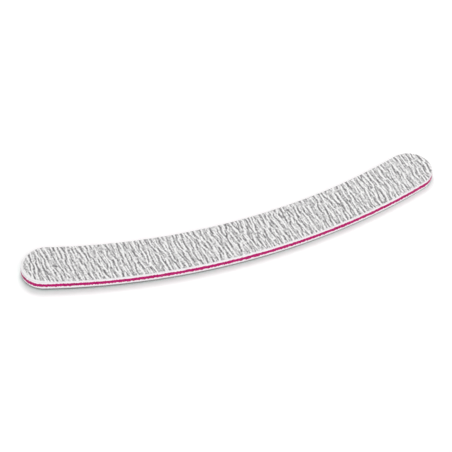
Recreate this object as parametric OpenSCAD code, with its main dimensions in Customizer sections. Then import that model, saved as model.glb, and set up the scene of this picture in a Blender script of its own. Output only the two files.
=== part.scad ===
// Curved laminated nail file: a plastic core with foam and an abrasive sheet bonded to each face.
// Millimetres, +Z up. The origin is under the middle of the board's box, on the surface it lies on.
// The long side runs along X, and the hollow side of the bend faces +Y.

/* [Outline] */
// Length of the board in a straight line from tip to tip
board_length = 178; // [120:1:200]
// Width of the band across the bend, and of the round tips
board_width = 19.2; // [12:0.1:26]
// Radius of the bend, to the middle of the band
bend_radius = 252; // [180:1:500]

/* [Core] */
// Thickness of the plastic core
core_thickness = 1.3; // [0.6:0.1:2]
// Width of the bevel that the cutting die leaves on both arrises of the core
core_arris = 0.08; // [0.02:0.01:0.2]

/* [Foam] */
// Thickness of the upper foam pad
upper_foam_thickness = 0.9; // [0.5:0.1:2]
// Thickness of the lower foam pad
lower_foam_thickness = 0.9; // [0.5:0.1:2]
// Depth of the hollow in the cut edge of the foam, which was squeezed under the die
foam_hollow = 0.08; // [0.02:0.01:0.2]

/* [Adhesive] */
// Thickness of the film between the core and each foam pad
core_film_thickness = 0.05; // [0.03:0.01:0.15]
// Thickness of the film between each foam pad and its paper
paper_film_thickness = 0.05; // [0.03:0.01:0.15]
// Distance that each film stays back from the edge of the board
film_setback = 0.12; // [0.02:0.01:0.5]

/* [Abrasive sheets] */
// Thickness of each sheet's backing paper
paper_thickness = 0.2; // [0.1:0.01:0.4]
// Thickness of the coarse coat of grit on the upper face
upper_grit_thickness = 0.17; // [0.08:0.01:0.3]
// Thickness of the fine coat of grit on the lower face
lower_grit_thickness = 0.13; // [0.08:0.01:0.3]
// Distance that the brittle coats of grit stay back from the edge of the paper
grit_setback = 0.1; // [0.02:0.01:0.5]
// Distance that each sheet ends short of the board at both tips
sheet_tip_setback = 0.2; // [0.05:0.05:1]

/* [Hidden] */

// The bend is drawn finer than the tips, because its radius is many times theirs
bend_steps = 720;
tip_steps = 96;

tip_radius = board_width / 2;

// Where a tip's centre lies on the bend, as an angle from the middle of the board
function tip_angle(short_by) = asin((board_length / 2 - tip_radius - short_by) / bend_radius);

// How far the centres of the tips stand off the middle of the band, across the board
bend_rise = bend_radius * (1 - cos(tip_angle(0)));
bend_centre_y = bend_radius - bend_rise / 2;

// The layers from the table upwards, each one seated on the last
lower_paper_z = lower_grit_thickness;
lower_paper_film_z = lower_paper_z + paper_thickness;
lower_foam_z = lower_paper_film_z + paper_film_thickness;
lower_core_film_z = lower_foam_z + lower_foam_thickness;
core_z = lower_core_film_z + core_film_thickness;
upper_core_film_z = core_z + core_thickness;
upper_foam_z = upper_core_film_z + core_film_thickness;
upper_paper_film_z = upper_foam_z + upper_foam_thickness;
upper_paper_z = upper_paper_film_z + paper_film_thickness;
upper_grit_z = upper_paper_z + paper_thickness;

// Draws a layer from its cross-section, whose X runs across the band from its middle and whose Y
// is the height. A layer can end short of the board at both tips.
module layer(height, short_by = 0) {
    translate([0, 0, height])
        for (side = [0, 1])
            mirror([side, 0, 0])
                intersection() {
                    half_layer(tip_angle(short_by))
                        children();
                    left_half();
                }
}

// The left tip, and the bend from there to past the middle of the board
module half_layer(angle) {
    past_middle = 1;
    translate([-bend_radius * sin(angle), bend_centre_y - bend_radius * cos(angle), 0])
        rotate([0, 0, -angle]) {
            translate([0, bend_radius, 0])
                rotate([0, 0, -90])
                    rotate_extrude(angle = angle + past_middle, $fn = bend_steps)
                        translate([bend_radius, 0])
                            children();
            rotate([0, 0, 90])
                rotate_extrude(angle = 180, $fn = tip_steps)
                    intersection() {
                        children();
                        outer_side();
                    }
        }
}

module left_half() {
    half_reach = board_length;
    translate([-half_reach, -half_reach, -half_reach])
        cube([half_reach, 2 * half_reach, 2 * half_reach]);
}

// The half of a cross-section that lies outside the middle of the band
module outer_side() {
    translate([0, -board_width])
        square([board_width, 2 * board_width]);
}

// A flat layer with square edges, which stops short of the board's edge by its setback
module flat_section(thickness, setback = 0) {
    half = tip_radius - setback;
    translate([-half, 0])
        square([2 * half, thickness]);
}

// The core has a small bevel on each arris
module core_section() {
    half = tip_radius;
    polygon([
        [-half, core_arris], [core_arris - half, 0], [half - core_arris, 0], [half, core_arris],
        [half, core_thickness - core_arris], [half - core_arris, core_thickness],
        [core_arris - half, core_thickness], [-half, core_thickness - core_arris]
    ]);
}

// The foam's cut edges are hollow, as arcs through both corners and the deepest point
module foam_section(thickness) {
    hollow_radius = (pow(thickness / 2, 2) + pow(foam_hollow, 2)) / (2 * foam_hollow);
    difference() {
        flat_section(thickness);
        for (side = [-1, 1])
            translate([side * (tip_radius - foam_hollow + hollow_radius), thickness / 2])
                circle(r = hollow_radius, $fn = tip_steps);
    }
}

module core() {
    color("mediumvioletred")
        layer(core_z)
            core_section();
}

module core_adhesive(height) {
    color("lavenderblush")
        layer(height)
            flat_section(core_film_thickness, film_setback);
}

module foam_pad(height, thickness) {
    color("white")
        layer(height)
            foam_section(thickness);
}

module paper_adhesive(height) {
    color("lavenderblush")
        layer(height, sheet_tip_setback)
            flat_section(paper_film_thickness, film_setback);
}

module backing_paper(height) {
    color("whitesmoke")
        layer(height, sheet_tip_setback)
            flat_section(paper_thickness);
}

module grit_coat(height, thickness) {
    color("silver")
        layer(height, sheet_tip_setback)
            flat_section(thickness, grit_setback);
}

core();
core_adhesive(upper_core_film_z);  // upper_core_adhesive
core_adhesive(lower_core_film_z);  // lower_core_adhesive
foam_pad(upper_foam_z, upper_foam_thickness);  // upper_foam_pad
foam_pad(lower_foam_z, lower_foam_thickness);  // lower_foam_pad
paper_adhesive(upper_paper_film_z);  // upper_paper_adhesive
paper_adhesive(lower_paper_film_z);  // lower_paper_adhesive
backing_paper(upper_paper_z);  // upper_backing_paper
backing_paper(lower_paper_z);  // lower_backing_paper
grit_coat(upper_grit_z, upper_grit_thickness);  // upper_grit_coat
grit_coat(0, lower_grit_thickness);  // lower_grit_coat
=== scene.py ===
"""Dresses a curved, foam-padded nail file: a bright plastic core between two foam pads, with a
sheet of streaked abrasive paper bonded to each face. Lengths are metres throughout."""

import math

import bpy
import numpy as np
from mathutils import Matrix, Vector


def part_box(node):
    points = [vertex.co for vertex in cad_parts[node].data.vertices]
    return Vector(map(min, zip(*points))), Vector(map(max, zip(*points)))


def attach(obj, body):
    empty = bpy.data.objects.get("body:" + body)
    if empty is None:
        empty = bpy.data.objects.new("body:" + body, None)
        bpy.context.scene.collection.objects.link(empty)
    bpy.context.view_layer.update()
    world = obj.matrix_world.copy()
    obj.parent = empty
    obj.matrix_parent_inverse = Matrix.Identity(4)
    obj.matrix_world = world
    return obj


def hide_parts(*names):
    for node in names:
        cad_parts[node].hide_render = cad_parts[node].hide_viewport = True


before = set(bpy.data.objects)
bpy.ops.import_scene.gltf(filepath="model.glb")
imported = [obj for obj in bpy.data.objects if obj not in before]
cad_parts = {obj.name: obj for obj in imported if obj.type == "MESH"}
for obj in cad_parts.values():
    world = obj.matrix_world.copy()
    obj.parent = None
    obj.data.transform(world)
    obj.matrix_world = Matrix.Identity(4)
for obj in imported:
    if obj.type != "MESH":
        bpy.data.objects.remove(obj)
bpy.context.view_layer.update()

bl_info = {
    "name": "Curved nail file",
    "version": (1, 0, 0),
    "blender": (4, 5, 0),
    "location": "View3D > Sidebar > Nail file",
    "description": "Builds the cut edges, foam, abrasive faces and studio of a curved nail file",
    "category": "Object",
}

MM = 0.001
BODY = "root"

MATH, VECTOR, COMBINE = "ShaderNodeMath", "ShaderNodeVectorMath", "ShaderNodeCombineXYZ"
SEPARATE, RANGE, BUMP = "ShaderNodeSeparateXYZ", "ShaderNodeMapRange", "ShaderNodeBump"
NOISE, VORONOI, GABOR = "ShaderNodeTexNoise", "ShaderNodeTexVoronoi", "ShaderNodeTexGabor"
# As a colour mix, this node takes its share at socket 0 and its colours at sockets 6 and 7, and
# gives the mixed colour at output 2
MIX = "ShaderNodeMix"
STORED = "GeometryNodeInputNamedAttribute"
SET_MATERIAL = "GeometryNodeSetMaterial"

# Sizes of the patterns that no property holds
TORN_PLASTIC = MM / 7     # Flakes of 0.14 mm, coarser than real ones, which wouldn't show
PAPER_FIBRE = MM / 2.4    # Stretches of fibre 0.4 mm long, which are a ninth as thick
FILM_RIPPLE = MM / 0.9    # Ripples of 1.1 mm that the roller leaves
GRIT_CLUMP = MM           # Clumps of 1 mm, with finer detail down to a single grain
GRIT_GRAIN = MM / 6.5     # Grains of 0.15 mm, as in 100 grit, and coarser than the lower coat's
GRAIN_TONE = MM / 2.5     # Patches of 0.4 mm, so that each grain has one tone


def layer_heights(node):
    """Lowest and highest point of one of the board's layers."""
    low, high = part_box(node)
    return low.z, high.z


def linear(code):
    """An sRGB hex colour as linear red, green and blue, with full alpha."""
    parts = [int(code[i:i + 2], 16) / 255 for i in (1, 3, 5)]
    parts = [p / 12.92 if p <= 0.04045 else ((p + 0.055) / 1.055) ** 2.4 for p in parts]
    return (*parts, 1.0)


def size(name, description, default_mm, low_mm, high_mm):
    """A length for the panel, written here in millimetres and kept in metres."""
    return bpy.props.FloatProperty(
        name=name, description=description, default=default_mm * MM, min=low_mm * MM,
        max=high_mm * MM, precision=6, subtype="DISTANCE", unit="LENGTH")


def colour(name, description, code):
    """A colour for the panel."""
    return bpy.props.FloatVectorProperty(
        name=name, description=description, default=linear(code), size=4, min=0, max=1,
        subtype="COLOR")


class NailFileOutline(bpy.types.PropertyGroup):
    """Outline that every layer follows"""

    length: size("Length", "Straight line from tip to tip", 178, 120, 200)
    width: size("Width", "Width of the band and of its round tips", 19.2, 12, 26)
    bend_radius: size("Bend radius", "Radius of the bend, to the middle of the band", 252, 180, 500)
    edge_step: size("Edge step", "Spacing of the points along the cut edges", 0.2, 0.1, 2)
    face_step: size("Face step", "Spacing of the points on the abrasive faces", 0.27, 0.15, 2)


class NailFileCore(bpy.types.PropertyGroup):
    """Plastic core"""

    arris: size("Arris", "Bevel left by the die on both arrises", 0.08, 0, 0.3)
    # Real marks are a few hundredths of a millimetre wide. They are drawn this wide to show
    striation: size("Striation width", "Width of the upright marks of the die", 0.45, 0.1, 3)
    striation_depth: size("Striation depth", "Depth of those marks", 0.05, 0, 0.2)
    burr: size("Burr", "Height of the plastic smeared over the foam", 0.36, 0, 0.5)
    burr_width: size("Burr width", "Length of one smear along the edge", 0.7, 0.1, 5)
    colour: colour("Colour", "Colour of the plastic", "#BC106C")
    # Painted shade in the deep marks of the die
    mark_shade_colour: colour("Mark colour", "Colour in the deep marks of the cut", "#8C0A4C")


class NailFileFoam(bpy.types.PropertyGroup):
    """Foam pads"""

    hollow: size("Hollow", "Depth of the hollow in the cut edge", 0.08, 0, 0.3)
    # Real cells are about half as wide. They are drawn this wide to show
    cell: size("Cell", "Size of the cut cells", 0.42, 0.1, 2)
    cell_depth: size("Cell depth", "How deep the cut cells are", 0.035, 0, 0.2)
    colour: colour("Colour", "Colour of the cell walls", "#FCF6FB")
    # Painted shade inside the cut cells
    cell_shade_colour: colour("Cell colour", "Colour inside the cut cells", "#F3EEF3")


class NailFileSheet(bpy.types.PropertyGroup):
    """Abrasive sheets and adhesive films"""

    tip_setback: size("Tip setback", "How far a sheet ends short of the tips", 0.2, 0, 1)
    grit_setback: size("Grit setback", "How far the grit stays back from the edge", 0.1, 0, 1)
    paper_mark: size("Paper mark", "Width of the die's marks in the paper", 0.7, 0.1, 3)
    paper_mark_depth: size("Paper mark depth", "Depth of those marks", 0.05, 0, 0.2)
    streak_pitch: size("Streak pitch", "Distance between the larger grooves", 2.05, 0.5, 8)
    streak_length: size("Streak length", "Length over which a streak changes", 5.2, 2, 40)
    relief: size("Relief", "Depth of the grooves in the coat", 0.08, 0, 0.2)
    rim_drop: size("Rim drop", "How far the die pressed the rim down", 0.035, 0, 0.15)
    # Real grains lie side by side. These are as wide as those of 150 grit, but far fewer
    grain: size("Grain", "Radius of the proud grains", 0.05, 0.02, 0.3)
    grains_per_mm2: bpy.props.FloatProperty(
        name="Grains", description="Proud grains on each square millimetre", default=0.9,
        min=0, max=4)
    ridge_colour: colour("Ridge colour", "Colour of the thick coat on the ridges", "#F9F8F8")
    groove_colour: colour("Groove colour", "Colour of the bare grit in the grooves", "#5C5A5D")
    grain_colour: colour("Grain colour", "Colour of the proud grains", "#9A999C")
    paper_colour: colour("Paper colour", "Colour of the backing paper", "#F3F1F1")
    # The lower paper's darker tone is painted shade, for the contact shadow along the board's foot
    lower_paper_shade_colour: colour("Shaded colour", "Colour of the lower paper's cut edge", "#E4E2E4")
    film_colour: colour("Film colour", "Colour of the adhesive films", "#EFE9E9")
    film_shade: colour("Film shade", "Colour of the films where they are thick", "#DEDAD8")


class NailFileStage(bpy.types.PropertyGroup):
    """Camera, floor and lights"""

    azimuth: bpy.props.FloatProperty(
        name="Azimuth", description="Direction that the camera looks from", subtype="ANGLE",
        unit="ROTATION", default=math.radians(-19.872), min=-math.pi, max=math.pi)
    elevation: bpy.props.FloatProperty(
        name="Elevation", description="Height of the camera above the floor, as an angle",
        subtype="ANGLE", unit="ROTATION", default=math.radians(46.588), min=0, max=1.5)
    distance: size("Distance", "From the camera to its target", 864.1, 200, 5000)
    target: bpy.props.FloatVectorProperty(
        name="Target", description="Point on the floor in the middle of the frame",
        default=(-0.002552, 0.005104, 0.0), size=3, subtype="TRANSLATION", unit="LENGTH")
    lens: bpy.props.FloatProperty(
        name="Lens", description="Focal length over a 36 mm square frame", default=168.14,
        min=20, max=400, subtype="DISTANCE_CAMERA", unit="CAMERA")
    floor_colour: colour("Floor colour", "Colour that the sweep throws back", "#F3F5F5")
    backdrop_colour: colour("Backdrop colour", "Colour that the sweep shows", "#FFFFFF")
    # Painted tint near the board that cancels the pink light thrown on the sweep by the core
    pink_counter_colour: colour("Near colour", "Colour that it shows beside the pink core", "#F5FDFA")
    floor_bleach: bpy.props.FloatProperty(
        name="Floor bleach", description="How much whiter the sweep is shown than it is",
        default=0.16, min=0, max=0.5, subtype="FACTOR")
    foot_gap: size("Foot gap", "Height of the board's foot over the sweep", 0.5, 0, 1)
    tip_lift: size("Tip lift", "How much higher the left tip stands than the right", 0.96, 0, 2)
    contact: size("Contact", "How far round the board its contact shadow reaches", 5, 1, 20)
    sky_strength: bpy.props.FloatProperty(
        name="Sky strength", description="Strength of the even sky", default=0.42, min=0, max=2)
    key_power: bpy.props.FloatProperty(
        name="Key power", description="Power of the broad lamp behind the board", default=2.7,
        min=0, max=50, subtype="POWER", unit="POWER")
    key_width: size("Key width", "Width of that lamp's disk", 480, 50, 2000)
    key_place: bpy.props.FloatVectorProperty(
        name="Key place", description="Where that lamp hangs", default=(0.12, 0.4, 0.66), size=3,
        subtype="TRANSLATION", unit="LENGTH")
    fill_strength: bpy.props.FloatProperty(
        name="Fill strength", description="Strength of the low front fill", default=1.65, min=0,
        max=10)
    fill_spread: bpy.props.FloatProperty(
        name="Fill spread", description="Angle over which the fill comes in", subtype="ANGLE",
        unit="ROTATION", default=math.radians(80), min=0, max=math.pi)
    fill_from: bpy.props.FloatVectorProperty(
        name="Fill direction", description="Direction that the fill comes from",
        default=(-0.1, -0.9, 0.4), size=3, subtype="XYZ")


def bend_rise(outline):
    """How far the centres of the tips stand off the middle of the band."""
    radius = outline.width / 2
    tip = math.asin((outline.length / 2 - radius) / outline.bend_radius)
    return outline.bend_radius * (1 - math.cos(tip))


def columns_along(outline, step, short_by):
    """Where the board's columns stand: the angle round the bend and the angle round a tip."""
    radius = outline.width / 2
    tip = math.asin((outline.length / 2 - radius - short_by) / outline.bend_radius)
    bend_count = max(8, round(2 * tip * outline.bend_radius / step))
    tip_count = max(6, round(radius * math.pi / 2 / step))
    swing = np.linspace(0, math.pi / 2, tip_count + 1)[1:]
    left = np.column_stack([np.full(tip_count, -tip), -swing[::-1]])
    middle = np.column_stack([np.linspace(-tip, tip, bend_count + 1), np.zeros(bend_count + 1)])
    right = np.column_stack([np.full(tip_count, tip), swing])
    return np.vstack([left, middle, right])


def band_points(outline, columns, across, inset):
    """Points on the columns, across from 1 on the outside of the bend to -1 on its inside, and
    the direction out of the board's edge at each. An inset shrinks the outline."""
    bend, swing = columns[:, :1], columns[:, 1:]
    half = outline.width / 2 - inset
    centre = np.array([0, outline.bend_radius - bend_rise(outline) / 2])
    outward = np.hstack([np.sin(bend), -np.cos(bend)])
    forward = np.hstack([np.cos(bend), np.sin(bend)])
    points = centre + outward * (outline.bend_radius + half * across * np.cos(swing))
    points += forward * half * np.sin(swing)
    side = outward * np.cos(swing) * (1 if across >= 0 else -1) + forward * np.sin(swing)
    return points, side


def edge_loop(outline, columns, inset):
    """The board's edge as one closed loop, counterclockwise from above."""
    near, near_side = band_points(outline, columns, 1, inset)
    far, far_side = band_points(outline, columns, -1, inset)
    return np.vstack([near, far[-2:0:-1]]), np.vstack([near_side, far_side[-2:0:-1]])


def slab(name, outline, step, profile, short_by=0.0, rows=1, face_down=False):
    """A closed layer of the board. The profile lists (inset, height, cut, burr) from the hidden
    face to the shown one, and rows is how often the shown face is divided across the board. Its
    points keep the direction out of the edge, the shares of cut and burr, the distance to the
    rim, and whether they lie on the shown face."""
    columns = columns_along(outline, step, short_by)
    last = len(columns) - 1
    ring = 2 * last
    walls = len(profile) - 1
    blocks = []

    def keep(points, height, side, cut, burr, rim):
        """Adds one block of points to the table"""
        spread = [np.broadcast_to(value, len(points)) for value in (height, cut, burr, rim)]
        blocks.append(np.column_stack([points, side, *spread]))

    for inset, height, cut, burr in profile:
        points, side = edge_loop(outline, columns, inset)
        keep(points, height, side, cut, burr, 0)
    inset, height = profile[-1][:2]
    half = outline.width / 2 - inset
    inner = columns[1:-1]
    for row in range(1, rows):
        across = 1 - 2 * row / rows
        points, side = band_points(outline, inner, across, inset)
        out = np.sqrt(np.sin(inner[:, 1]) ** 2 + (across * np.cos(inner[:, 1])) ** 2)
        keep(points, height, np.zeros_like(side), 0, 0, (1 - out) * half)
    x, y, side_x, side_y, z, cut, burr, rim = np.vstack(blocks).T.copy()

    def line(level, row, total):
        """The points of one row along the board, from tip to tip"""
        base = level * ring
        if row == 0:
            return base + np.arange(last + 1)
        if row == total:
            return base + np.concatenate([[0], ring - np.arange(1, last), [last]])
        start = len(profile) * ring + (row - 1) * (last - 1)
        return np.concatenate([[base], start + np.arange(last - 1), [base + last]])

    faces = []
    around = np.arange(ring)
    ahead = (around + 1) % ring
    for level in range(walls):
        low, high = level * ring, (level + 1) * ring
        faces += np.column_stack([low + around, low + ahead, high + ahead, high + around]).tolist()
    for level, total, outward in ((walls, rows, 1), (0, 1, -1)):
        for row in range(total):
            a, b = line(level, row, total), line(level, row + 1, total)
            quads = np.column_stack([a[1:-2], a[2:-1], b[2:-1], b[1:-2]])
            ends = np.array([[a[0], a[1], b[1]], [a[-2], a[-1], b[-2]]])
            faces += quads[:, ::outward].tolist() + ends[:, ::outward].tolist()
    if face_down:
        faces = [face[::-1] for face in faces]

    mesh = bpy.data.meshes.new(name)
    mesh.from_pydata(np.column_stack([x, y, z]).tolist(), [], faces)
    side = np.column_stack([side_x, side_y, np.zeros(len(x))])
    mesh.attributes.new("side", "FLOAT_VECTOR", "POINT").data.foreach_set("vector", side.ravel())
    shown = (np.arange(len(x)) >= walls * ring).astype(float)
    for key, values in (("cut", cut), ("burr", burr), ("rim", rim), ("shown", shown)):
        mesh.attributes.new(key, "FLOAT", "POINT").data.foreach_set("value", values)
    piece = bpy.data.objects.new(name, mesh)
    bpy.context.scene.collection.objects.link(piece)
    return piece


def put(tree, kind, inputs=(), out=0, **settings):
    """Adds a node with its settings and links, and gives back one of its outputs, if it has any.
    The inputs are values or other nodes' outputs, in order or by name."""
    made = tree.nodes.new(kind)
    for name, value in settings.items():
        setattr(made, name, value)
    for key, value in (inputs.items() if isinstance(inputs, dict) else enumerate(inputs)):
        if isinstance(value, bpy.types.NodeSocket):
            tree.links.new(value, made.inputs[key])
        else:
            made.inputs[key].default_value = value
    return made.outputs[out] if len(made.outputs) else None


def shifted(tree, position, seed):
    """The place, moved by the seed, so that each face and each pattern has noise of its own."""
    return put(tree, VECTOR, (position, (seed * 0.137, seed * 0.071, seed * 0.033)),
               operation="ADD")


def streaks(tree, position, pitch, length, seed):
    """Height of the streaked coat, from 0 in a groove to 1 on a ridge. The streaks run across
    the board, a pitch apart, and fork where they meet. A finer set lies between them, both come
    and go along their length, and clumps of grit break them up."""
    point = shifted(tree, position, seed)
    x = put(tree, SEPARATE, (point,))
    y = x.node.outputs[1]
    slant = 0.09
    lean = put(tree, MATH, (y, slant, x), operation="MULTIPLY_ADD")
    # The streaks sway over 9 mm, wriggle over 2.2 mm and tremble over 0.8 mm
    for per_mm, reach in ((0.11, 1.5 * MM), (0.45, 0.35 * MM), (1.3, 0.3 * MM)):
        sway = put(tree, NOISE, {"Vector": point, "Scale": per_mm / MM, "Detail": 1.0})
        lean = put(tree, MATH, (sway, reach, lean), operation="MULTIPLY_ADD")
    u = put(tree, MATH, (lean, pitch), operation="DIVIDE")
    v = put(tree, MATH, (y, length), operation="DIVIDE")
    cell = put(tree, COMBINE, (u, v))
    height = 0.5
    # The larger streaks, and the finer ones between them. Scale times Frequency makes about one
    # wave to a cell
    for finer, strength in ((1.0, 0.42), (1.7, 0.37)):
        place_in = put(tree, VECTOR, (cell, (finer, finer, 1.0)), operation="MULTIPLY")
        turn = put(tree, GABOR, {"Vector": place_in, "Scale": 0.7, "Frequency": 1.4,
                                 "Anisotropy": 0.7, "Orientation": 0.0}, out="Phase")
        turn = put(tree, MATH, (turn, math.tau), operation="MULTIPLY")
        wave = put(tree, MATH, (turn,), operation="COSINE")
        come = put(tree, NOISE, {"Vector": place_in, "Scale": 1.6, "Detail": 1.0})
        come = put(tree, RANGE, (come, 0.3, 0.65, 0.45 * strength, strength))
        height = put(tree, MATH, (wave, come, height), operation="MULTIPLY_ADD")
    # The clumps reach up and down from the height that the streaks alone would have
    contrast, middle = 2.4, 1.09
    clumps = put(tree, NOISE, {"Vector": point, "Scale": 1 / GRIT_CLUMP, "Detail": 4.0,
                               "Roughness": 0.8})
    height = put(tree, MATH, (clumps, contrast, height), operation="MULTIPLY_ADD")
    height = put(tree, MATH, (height, middle), operation="SUBTRACT")
    return put(tree, "ShaderNodeClamp", (height,))


def die_marks(tree, position, width):
    """Upright marks that a cutting die leaves in plastic or paper, from 0 to 1. They hardly
    change with height."""
    upright = put(tree, VECTOR, (position, (1.0, 1.0, 0.12)), operation="MULTIPLY")
    scale = put(tree, MATH, (1.0, width), operation="DIVIDE")
    return put(tree, NOISE, {"Vector": upright, "Scale": scale, "Detail": 2.0})


def foam_cells(tree, position, width):
    """How far a point lies from the wall of its foam cell, from 0 on the wall to 1 where a cell
    is deep."""
    scale = put(tree, MATH, (1.0, width), operation="DIVIDE")
    edge = put(tree, VORONOI, {"Vector": position, "Scale": scale}, feature="DISTANCE_TO_EDGE")
    return put(tree, RANGE, (edge, 0.02, 0.3, 0.0, 1.0), interpolation_type="SMOOTHSTEP")


def new_tree(name, *sockets):
    """A Geometry Nodes tree with a geometry input, and other inputs by (name, kind)."""
    tree = bpy.data.node_groups.new(name, "GeometryNodeTree")
    for label, kind in (("Geometry", "Geometry"), *sockets):
        tree.interface.new_socket(label, in_out="INPUT", socket_type="NodeSocket" + kind)
    tree.interface.new_socket("Geometry", in_out="OUTPUT", socket_type="NodeSocketGeometry")
    start = put(tree, "NodeGroupInput").node
    return tree, {socket.name: socket for socket in start.outputs if socket.name}


def end_tree(tree, geometry, material, chosen=True):
    """Every tree ends with real geometry and its material."""
    real = put(tree, "GeometryNodeRealizeInstances", (geometry,))
    done = put(tree, SET_MATERIAL, {"Geometry": real, "Selection": chosen, "Material": material})
    put(tree, "NodeGroupOutput", (done,))
    return tree


def cut_edge_tree(name, pattern):
    """Presses a cut edge inwards by a pattern, and raises a burr along its arrises."""
    tree, given = new_tree(
        name, ("Mark width", "Float"), ("Mark depth", "Float"), ("Burr height", "Float"),
        ("Burr width", "Float"), ("Material", "Material"))
    position = put(tree, "GeometryNodeInputPosition")
    side = put(tree, STORED, {"Name": "side"}, data_type="FLOAT_VECTOR")
    cut = put(tree, STORED, {"Name": "cut"}, data_type="FLOAT")
    burr = put(tree, STORED, {"Name": "burr"}, data_type="FLOAT")
    mark = put(tree, MATH, (pattern(tree, position, given["Mark width"]), cut),
               operation="MULTIPLY")
    depth = put(tree, MATH, (mark, given["Mark depth"]), operation="MULTIPLY")
    pressed = put(tree, VECTOR, {0: side, "Scale": depth}, operation="SCALE")
    scale = put(tree, MATH, (1.0, given["Burr width"]), operation="DIVIDE")
    ragged = put(tree, NOISE, {"Vector": shifted(tree, position, 1.0), "Scale": scale,
                               "Detail": 2.0})
    ragged = put(tree, RANGE, (ragged, 0.4, 0.62, 0.0, 1.0))
    rise = put(tree, MATH, (ragged, burr), operation="MULTIPLY")
    rise = put(tree, MATH, (rise, given["Burr height"]), operation="MULTIPLY")
    offset = put(tree, VECTOR, (put(tree, COMBINE, {2: rise}), pressed), operation="SUBTRACT")
    moved = put(tree, "GeometryNodeSetPosition", {"Geometry": given["Geometry"], "Offset": offset})
    return end_tree(tree, moved, given["Material"])


def grit_tree(seed):
    """Sinks grooves into the flat face of a coat, lets its rim down, and scatters proud grains
    over it. Inward is -1 for a face that points up, and 1 for one that points down."""
    tree, given = new_tree(
        "streaked_grit", ("Streak pitch", "Float"), ("Streak length", "Float"),
        ("Relief", "Float"), ("Rim drop", "Float"), ("Inward", "Float"), ("Grain", "Float"),
        ("Grains per m2", "Float"), ("Seed", "Int"), ("Coat", "Material"), ("Crushed", "Material"))
    position = put(tree, "GeometryNodeInputPosition")
    rim = put(tree, STORED, {"Name": "rim"}, data_type="FLOAT")
    shown = put(tree, STORED, {"Name": "shown"}, data_type="FLOAT")
    height = streaks(tree, position, given["Streak pitch"], given["Streak length"], seed)
    sunk = put(tree, MATH, (1.0, height), operation="SUBTRACT")
    sunk = put(tree, MATH, (sunk, given["Relief"]), operation="MULTIPLY")
    rounded, bare = 0.6 * MM, 0.25 * MM
    edge = put(tree, RANGE, (rim, 0.0, rounded, 1.0, 0.0), interpolation_type="SMOOTHSTEP")
    sunk = put(tree, MATH, (edge, given["Rim drop"], sunk), operation="MULTIPLY_ADD")
    sunk = put(tree, MATH, (sunk, shown), operation="MULTIPLY")
    sunk = put(tree, MATH, (sunk, given["Inward"]), operation="MULTIPLY")
    face = put(tree, "GeometryNodeSetPosition",
               {"Geometry": given["Geometry"], "Offset": put(tree, COMBINE, {2: sunk})})

    # The rim keeps no grains. Elsewhere they lie any way round, and each is flatter than wide
    full_turn, smallest, largest = (6.28, 6.28, 6.28), (0.4, 0.4, 0.25), (1.0, 1.0, 0.5)
    inner = put(tree, "FunctionNodeCompare", (rim, bare), operation="GREATER_THAN")
    spots = put(tree, "GeometryNodeDistributePointsOnFaces",
                {"Mesh": face, "Selection": inner, "Density": given["Grains per m2"],
                 "Seed": given["Seed"]})
    grain = put(tree, "GeometryNodeMeshIcoSphere", {"Radius": given["Grain"], "Subdivisions": 1})
    grain = put(tree, SET_MATERIAL, {"Geometry": grain, "Material": given["Crushed"]})
    turn = put(tree, "FunctionNodeRandomValue",
               {0: (0, 0, 0), 1: full_turn, "Seed": given["Seed"]}, data_type="FLOAT_VECTOR")
    grown = put(tree, "FunctionNodeRandomValue",
                {0: smallest, 1: largest, "Seed": given["Seed"]}, data_type="FLOAT_VECTOR")
    grains = put(tree, "GeometryNodeInstanceOnPoints",
                 {"Points": spots, "Instance": grain, "Rotation": turn, "Scale": grown})
    grains = put(tree, "GeometryNodeRealizeInstances", (grains,))
    grains = put(tree, "GeometryNodeStoreNamedAttribute",
                 {"Geometry": grains, "Name": "proud", "Value": 1.0}, data_type="FLOAT")
    coat = put(tree, SET_MATERIAL, {"Geometry": face, "Material": given["Coat"]})
    both = put(tree, "GeometryNodeJoinGeometry", (coat,))
    tree.links.new(grains, both.node.inputs[0])
    proud = put(tree, STORED, {"Name": "proud"}, data_type="FLOAT")
    chosen = put(tree, "FunctionNodeCompare", (proud, 0.5), operation="GREATER_THAN")
    return end_tree(tree, both, given["Crushed"], chosen)


def shape(piece, tree, **inputs):
    """Runs a tree on a piece, and keeps the result as its plain mesh."""
    modifier = piece.modifiers.new(tree.name, "NODES")
    modifier.node_group = tree
    sockets = {s.name: s.identifier for s in tree.interface.items_tree if s.in_out == "INPUT"}
    for name, value in inputs.items():
        modifier[sockets[name.replace("_", " ")]] = value
    graph = bpy.context.evaluated_depsgraph_get()
    mesh = bpy.data.meshes.new_from_object(
        piece.evaluated_get(graph), preserve_all_data_layers=True, depsgraph=graph)
    flat = piece.data
    piece.modifiers.clear()
    piece.data = mesh
    bpy.data.meshes.remove(flat)
    mesh.name = piece.name
    # A tree with two materials leaves an empty first slot, which no face uses
    if mesh.materials[0] is None:
        mesh.materials.pop(index=0)


def finish_piece(piece, node):
    """Smooths a piece except at its arrises, and puts it in the place of its CAD node."""
    mesh = piece.data
    mesh.polygons.foreach_set("use_smooth", [True] * len(mesh.polygons))
    mesh.set_sharp_from_angle(angle=math.radians(42))
    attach(piece, BODY)
    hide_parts(node)


def empty_tree(holder):
    """The node tree of a material or a world, with nothing in it."""
    holder.use_nodes = True
    holder.node_tree.nodes.clear()
    return holder.node_tree


def new_material(name):
    """A material with its tree and the place on the piece."""
    material = bpy.data.materials.new(name)
    tree = empty_tree(material)
    return material, tree, put(tree, "ShaderNodeTexCoord", out="Object")


def end_material(material, inputs):
    """Every finish ends with its shader, whose constants are set on its own sockets."""
    shader = put(material.node_tree, "ShaderNodeBsdfPrincipled", inputs)
    put(material.node_tree, "ShaderNodeOutputMaterial", {"Surface": shader})
    return material


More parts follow.
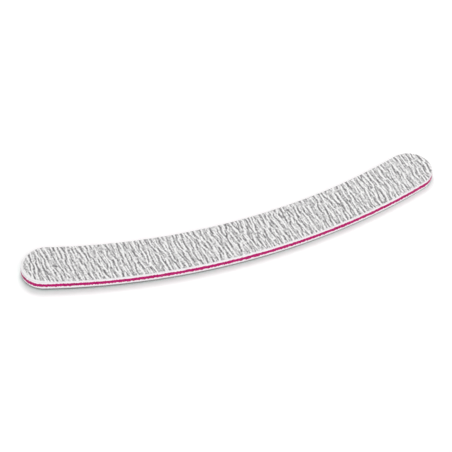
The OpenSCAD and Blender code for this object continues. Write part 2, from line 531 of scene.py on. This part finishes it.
def polystyrene_core(core):
    """High-impact polystyrene sheet, punched out with a steel die: upright shear marks, darkened
    with painted shade where they are deep, and a torn surface too rough to mirror much."""
    material, tree, place_on = new_material("polystyrene_punched")
    marks = die_marks(tree, place_on, core.striation)
    # Painted shade: the deeper the die mark, the darker the plastic
    deep = put(tree, RANGE, (marks, 0.45, 0.75, 0.0, 0.8), interpolation_type="SMOOTHSTEP")
    base = put(tree, MIX, {0: deep, 6: core.colour, 7: core.mark_shade_colour}, 2, data_type="RGBA")
    rough = put(tree, RANGE, (marks, 0.3, 0.7, 0.45, 0.65))
    torn = put(tree, NOISE, {"Vector": shifted(tree, place_on, 2.0), "Scale": 1 / TORN_PLASTIC,
                             "Detail": 2.0})
    normal = put(tree, BUMP, {"Height": torn, "Distance": 0.02 * MM})
    return end_material(material, {"Base Color": base, "Roughness": rough, "Normal": normal,
                                   "IOR": 1.59, "Specular IOR Level": 0.12})


def eva_foam(foam):
    """Closed-cell EVA foam, die cut: matt, with the cut cells as small hollows, darkened inside
    with painted shade.
    """
    material, tree, place_on = new_material("eva_foam_cut")
    cells = foam_cells(tree, place_on, foam.cell)
    # The cells are darker inside: painted shade
    base = put(tree, MIX, {0: cells, 6: foam.colour, 7: foam.cell_shade_colour}, 2, data_type="RGBA")
    small = foam_cells(tree, place_on, foam.cell * 0.45)
    normal = put(tree, BUMP, {"Height": small, "Distance": 0.02 * MM}, invert=True)
    return end_material(material, {"Base Color": base, "Normal": normal, "IOR": 1.48,
                                   "Roughness": 0.85})


def latex_paper(sheet, name, tone):
    """Latex-filled paper, die cut: matt, with its fibres lying flat in the cut edge, and grey
    where the die dragged grit over it."""
    material, tree, place_on = new_material(name)
    lying = put(tree, VECTOR, (shifted(tree, place_on, 3.0), (1, 1, 9)), operation="MULTIPLY")
    fibres = put(tree, NOISE, {"Vector": lying, "Scale": 1 / PAPER_FIBRE, "Detail": 3.0})
    worn = put(tree, RANGE, (fibres, 0.3, 0.7, 0.16, 0.0), interpolation_type="SMOOTHSTEP")
    base = put(tree, MIX, {0: worn, 6: tone, 7: sheet.groove_colour}, 2, data_type="RGBA")
    normal = put(tree, BUMP, {"Height": fibres, "Distance": 0.03 * MM})
    return end_material(material, {"Base Color": base, "Normal": normal, "IOR": 1.5,
                                   "Roughness": 0.9})


def acrylic_film(sheet):
    """Acrylic transfer adhesive, rolled on: a thin milky film, glossier than what it holds."""
    material, tree, place_on = new_material("acrylic_adhesive_rolled")
    wet = put(tree, NOISE, {"Vector": shifted(tree, place_on, 4.0), "Scale": 1 / FILM_RIPPLE,
                            "Detail": 2.0})
    base = put(tree, MIX, {0: wet, 6: sheet.film_shade, 7: sheet.film_colour}, 2, data_type="RGBA")
    rough = put(tree, RANGE, (wet, 0.3, 0.7, 0.3, 0.45))
    return end_material(material, {"Base Color": base, "Roughness": rough, "IOR": 1.47})


def stearated_grit(sheet, grade, seed):
    """Silicon carbide grit under a coat of white zinc stearate, brushed on in streaks: chalky
    and pale on the ridges, where the coat is thick, and grey in the grooves, where it is thin."""
    material, tree, place_on = new_material("silicon_carbide_stearated_" + grade)
    height = streaks(tree, place_on, sheet.streak_pitch, sheet.streak_length, seed)
    if grade == "fine":
        # The cut edge of the lower coat shows bare grit, and its darkness is also painted shade for
        # the dark line along the board's foot
        face = put(tree, "ShaderNodeAttribute", out="Fac", attribute_name="shown")
        height = put(tree, MATH, (height, face), operation="MULTIPLY")
    else:
        # The coat is chipped back to the white paper along the rim, by 0.1 mm along the board
        # and by up to 0.85 mm round the left tip
        tip_begins, chipped_most = -76 * MM, -86 * MM
        rim = put(tree, "ShaderNodeAttribute", out="Fac", attribute_name="rim")
        along = put(tree, SEPARATE, (place_on,))
        chip = put(tree, RANGE, (along, tip_begins, chipped_most, 0.1 * MM, 0.85 * MM),
                   interpolation_type="SMOOTHSTEP")
        bare = put(tree, MATH, (chip, rim), operation="SUBTRACT")
        bare = put(tree, RANGE, (bare, -0.1 * MM, 0.1 * MM, 0.0, 0.95))
        height = put(tree, MATH, (height, bare), operation="MAXIMUM")
    base = put(tree, MIX, {0: height, 6: sheet.groove_colour, 7: sheet.ridge_colour}, 2,
               data_type="RGBA")
    rough = put(tree, RANGE, (height, 0.1, 0.9, 0.6, 0.85))
    fine = put(tree, NOISE, {"Vector": shifted(tree, place_on, seed + 5.0),
                             "Scale": 1 / GRIT_GRAIN, "Detail": 2.0})
    normal = put(tree, BUMP, {"Height": fine, "Distance": 0.08 * MM})
    return end_material(material, {"Base Color": base, "Roughness": rough, "Normal": normal,
                                   "IOR": 1.5})


def carbide_grain(sheet):
    """Crushed silicon carbide: sharp, glassy grains that catch the light."""
    material, tree, place_on = new_material("silicon_carbide_crushed")
    tone = put(tree, NOISE, {"Vector": shifted(tree, place_on, 6.0), "Scale": 1 / GRAIN_TONE})
    tone = put(tree, RANGE, (tone, 0.35, 0.65, 0.0, 1.0))
    base = put(tree, MIX, {0: tone, 6: sheet.groove_colour, 7: sheet.grain_colour}, 2,
               data_type="RGBA")
    return end_material(material, {"Base Color": base, "IOR": 2.6, "Roughness": 0.28})


class NAILFILE_OT_core(bpy.types.Operator):
    """Builds the punched plastic core"""

    bl_idname = "nailfile.core"
    bl_label = "Core"

    def execute(self, context):
        outline, core = context.scene.nail_outline, context.scene.nail_core
        low, high = layer_heights("core")
        arris = core.arris
        # Two rings lie on each face, two round each arris and five on the wall. The die went down
        # through the board, and smeared more plastic down over the foam than up
        down, up = -1.2, 0.7
        profile = [(6 * arris, low, 0, 0), (3 * arris, low, 0, 0), (0.5 * arris, low, 0.3, down),
                   (0, low + 0.4 * arris, 0.6, down)]
        profile += [(0, z, 1, 0) for z in np.linspace(low + 2 * arris, high - 2 * arris, 5)]
        profile += [(0, high - 0.4 * arris, 0.6, up), (0.5 * arris, high, 0.3, up),
                    (3 * arris, high, 0, 0), (6 * arris, high, 0, 0)]
        piece = slab("core_cut", outline, outline.edge_step, profile)
        shape(piece, cut_edge_tree("punched_plastic", die_marks),
              Mark_width=core.striation, Mark_depth=core.striation_depth,
              Burr_height=core.burr, Burr_width=core.burr_width,
              Material=polystyrene_core(core))
        finish_piece(piece, "core")
        return {"FINISHED"}


class NAILFILE_OT_foam(bpy.types.Operator):
    """Builds both foam pads"""

    bl_idname = "nailfile.foam"
    bl_label = "Foam pads"

    def execute(self, context):
        outline, foam = context.scene.nail_outline, context.scene.nail_foam
        material = eva_foam(foam)
        tree = cut_edge_tree("cut_foam", foam_cells)
        for node in ("upper_foam_pad", "lower_foam_pad"):
            low, high = layer_heights(node)
            profile = []
            for part in np.linspace(0, 1, 9):
                # At the paper and at the core, 0.4 of the hollow's depth is left
                hollow = foam.hollow * (1 - 0.6 * (2 * part - 1) ** 2)
                cut = 0 if part in (0, 1) else 1
                profile.append((hollow, low + part * (high - low), cut, 0))
            piece = slab(node + "_cut", outline, outline.edge_step, profile)
            shape(piece, tree, Mark_width=foam.cell, Mark_depth=foam.cell_depth,
                  Material=material)
            finish_piece(piece, node)
        return {"FINISHED"}


class NAILFILE_OT_papers(bpy.types.Operator):
    """Builds both backing papers and finishes the adhesive films"""

    bl_idname = "nailfile.papers"
    bl_label = "Papers and films"

    def execute(self, context):
        outline, sheet = context.scene.nail_outline, context.scene.nail_sheet
        tree = cut_edge_tree("cut_paper", die_marks)
        # The lower paper gets the darker tone: painted shade for the contact shadow along the foot
        for node, name, tone in (
                ("upper_backing_paper", "latex_paper_cut", sheet.paper_colour),
                ("lower_backing_paper", "latex_paper_cut_shaded", sheet.lower_paper_shade_colour)):
            low, high = layer_heights(node)
            profile = [(0.0, z, 0.5 if z in (low, high) else 1, 0)
                       for z in np.linspace(low, high, 4)]
            piece = slab(node + "_cut", outline, outline.edge_step, profile,
                         short_by=sheet.tip_setback)
            shape(piece, tree, Mark_width=sheet.paper_mark, Mark_depth=sheet.paper_mark_depth,
                  Material=latex_paper(sheet, name, tone))
            finish_piece(piece, node)
        film = acrylic_film(sheet)
        for node in ("upper_core_adhesive", "lower_core_adhesive", "upper_paper_adhesive",
                     "lower_paper_adhesive"):
            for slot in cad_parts[node].material_slots:
                slot.material = film
        return {"FINISHED"}


class NAILFILE_OT_grit(bpy.types.Operator):
    """Builds the streaked coats of grit on both faces"""

    bl_idname = "nailfile.grit"
    bl_label = "Abrasive faces"

    def execute(self, context):
        outline, sheet = context.scene.nail_outline, context.scene.nail_sheet
        crushed = carbide_grain(sheet)
        rows = round(outline.width / outline.face_step)
        bevel = 0.04 * MM
        # The fine coat has 0.6 of the coarse one's relief, and smaller grains
        for node, grade, seed, inward, share in (("upper_grit_coat", "coarse", 0, -1, 1.0),
                                                 ("lower_grit_coat", "fine", 1, 1, 0.6)):
            low, high = layer_heights(node)
            hidden, shown = (low, high) if inward < 0 else (high, low)
            # Grains stand proud of the ridges, so the ridges stay below the coat's height
            ridge = shown + sheet.grain * share * inward
            setback = sheet.grit_setback
            profile = [(setback, hidden, 0, 0), (setback, (hidden + shown) / 2, 0, 0),
                       (setback + bevel, ridge, 0, 0)]
            piece = slab(node + "_relief", outline, outline.face_step, profile,
                         short_by=sheet.tip_setback, rows=rows, face_down=inward > 0)
            shape(piece, grit_tree(seed), Streak_pitch=sheet.streak_pitch,
                  Streak_length=sheet.streak_length, Relief=sheet.relief * share,
                  Rim_drop=sheet.rim_drop * share, Inward=float(inward),
                  Grain=sheet.grain * share, Grains_per_m2=sheet.grains_per_mm2 / MM ** 2,
                  Seed=seed + 11, Coat=stearated_grit(sheet, grade, seed), Crushed=crushed)
            finish_piece(piece, node)
        return {"FINISHED"}


class NAILFILE_OT_stage(bpy.types.Operator):
    """Sets the floor, the lights and the camera"""

    bl_idname = "nailfile.stage"
    bl_label = "Stage"

    def execute(self, context):
        stage = context.scene.nail_stage
        self.floor(context, stage)
        self.light(context, stage)
        self.camera(context, stage)
        return {"FINISHED"}

    def background_ray(self, tree):
        """1 for rays that show the background: straight, mirrored or through glass."""
        path = put(tree, "ShaderNodeLightPath").node.outputs
        shown = put(tree, MATH, (path["Is Camera Ray"], path["Is Glossy Ray"]), operation="MAXIMUM")
        return put(tree, MATH, (shown, path["Is Transmission Ray"]), operation="MAXIMUM")

    def floor(self, context, stage):
        """Matt white paper sweep: it keeps the shadow, and shows as white as the backdrop. It
        lies a little under the board, and lowest under its left tip, where the photograph's shadow
        is widest."""
        reach = 4.0
        mesh = bpy.data.meshes.new("floor")
        slope = stage.tip_lift / context.scene.nail_outline.length
        corners = [(-reach, -reach), (reach, -reach), (reach, reach), (-reach, reach)]
        mesh.from_pydata([(x, y, slope * x - stage.foot_gap) for x, y in corners], [],
                         [(0, 1, 2, 3)])
        floor = bpy.data.objects.new("floor", mesh)
        context.scene.collection.objects.link(floor)
        material = bpy.data.materials.new("paper_sweep_matt")
        tree = empty_tree(material)
        paper = put(tree, "ShaderNodeBsdfDiffuse", {"Color": stage.floor_colour})
        # The shown paper carries a painted contact shadow, darkest under the board's edge and
        # fading out over the contact reach, and near the board a painted tint that takes out the
        # pink light that the core throws on it
        sky = put(tree, "ShaderNodeAmbientOcclusion", {"Distance": stage.contact}, out="AO",
                  samples=8)
        # Painted tint: near the board the sweep shows a colour that cancels the core's pink light
        away = put(tree, RANGE, (sky, 0.75, 1.0, 0.0, 1.0))
        shade = put(tree, MIX, {0: away, 6: stage.pink_counter_colour, 7: stage.backdrop_colour}, 2,
                    data_type="RGBA")
        painted_contact_shadow = put(tree, RANGE, (sky, 0.15, 0.62, 0.1, 1.0))
        shade = put(tree, VECTOR, (shade, painted_contact_shadow), operation="MULTIPLY")
        white = put(tree, "ShaderNodeBsdfDiffuse", {"Color": shade})
        bleach = put(tree, "ShaderNodeBsdfDiffuse", {"Color": (*[stage.floor_bleach] * 3, 1)})
        both = put(tree, "ShaderNodeAddShader", (white, bleach))
        shown = put(tree, "ShaderNodeMixShader", (self.background_ray(tree), paper, both))
        put(tree, "ShaderNodeOutputMaterial", {"Surface": shown})
        mesh.materials.append(material)

    def light(self, context, stage):
        """An even sky, one broad lamp high behind the board, and a low front fill."""
        world = bpy.data.worlds.new("studio")
        context.scene.world = world
        tree = empty_tree(world)
        strength = put(tree, RANGE, {"Value": self.background_ray(tree),
                                     "To Min": stage.sky_strength, "To Max": 1.0})
        sky = put(tree, "ShaderNodeBackground", {"Color": (1, 1, 1, 1), "Strength": strength})
        put(tree, "ShaderNodeOutputWorld", {"Surface": sky})
        fill = bpy.data.lights.new("fill", "SUN")
        fill.energy, fill.angle = stage.fill_strength, stage.fill_spread
        key = bpy.data.lights.new("key", "AREA")
        key.energy, key.shape, key.size = stage.key_power, "DISK", stage.key_width
        for lamp, place_at in ((fill, stage.fill_from), (key, stage.key_place)):
            holder = bpy.data.objects.new(lamp.name, lamp)
            holder.location = place_at
            holder.rotation_mode = "QUATERNION"
            holder.rotation_quaternion = Vector(place_at).to_track_quat("Z", "Y")
            context.scene.collection.objects.link(holder)

    def camera(self, context, stage):
        """The photograph's view: its direction, distance and focal length."""
        turn, rise = stage.azimuth, stage.elevation
        back = Vector((math.sin(turn) * math.cos(rise), -math.cos(turn) * math.cos(rise),
                       math.sin(rise)))
        right = Vector((math.cos(turn), math.sin(turn), 0))
        axes = Matrix((right, back.cross(right), back)).transposed().to_4x4()
        data = bpy.data.cameras.new("camera")
        data.sensor_width = 36
        data.lens = stage.lens
        data.clip_start = 0.01
        data.clip_end = 50
        camera = bpy.data.objects.new("camera", data)
        stand = Vector(stage.target) + back * stage.distance
        camera.matrix_world = Matrix.Translation(stand) @ axes
        context.scene.collection.objects.link(camera)
        context.scene.camera = camera
        context.scene.view_settings.view_transform = "Standard"


class NAILFILE_PT_panel(bpy.types.Panel):
    """Sizes, colours and steps of the nail file"""

    bl_idname = "NAILFILE_PT_panel"
    bl_label = "Nail file"
    bl_space_type = "VIEW_3D"
    bl_region_type = "UI"
    bl_category = "Nail file"

    def draw(self, context):
        for key, kind in GROUPS.items():
            group = getattr(context.scene, key)
            box = self.layout.box()
            box.label(text=kind.__doc__)
            for name in kind.__annotations__:
                box.prop(group, name)
        for operator in OPERATORS:
            self.layout.operator(operator.bl_idname)


GROUPS = {
    "nail_outline": NailFileOutline, "nail_core": NailFileCore, "nail_foam": NailFileFoam,
    "nail_sheet": NailFileSheet, "nail_stage": NailFileStage,
}
OPERATORS = (NAILFILE_OT_core, NAILFILE_OT_foam, NAILFILE_OT_papers, NAILFILE_OT_grit,
             NAILFILE_OT_stage)
CLASSES = (*GROUPS.values(), *OPERATORS, NAILFILE_PT_panel)


def register():
    """Makes the properties, operators and panel known to Blender."""
    for cls in CLASSES:
        bpy.utils.register_class(cls)
    for key, group in GROUPS.items():
        setattr(bpy.types.Scene, key, bpy.props.PointerProperty(type=group))


def unregister():
    """Takes them away again."""
    for key in GROUPS:
        delattr(bpy.types.Scene, key)
    for cls in reversed(CLASSES):
        bpy.utils.unregister_class(cls)


def main():
    """Builds the whole board and its stage."""
    register()
    bpy.ops.nailfile.core()
    bpy.ops.nailfile.foam()
    bpy.ops.nailfile.papers()
    bpy.ops.nailfile.grit()
    bpy.ops.nailfile.stage()


if __name__ == "__main__":
    main()
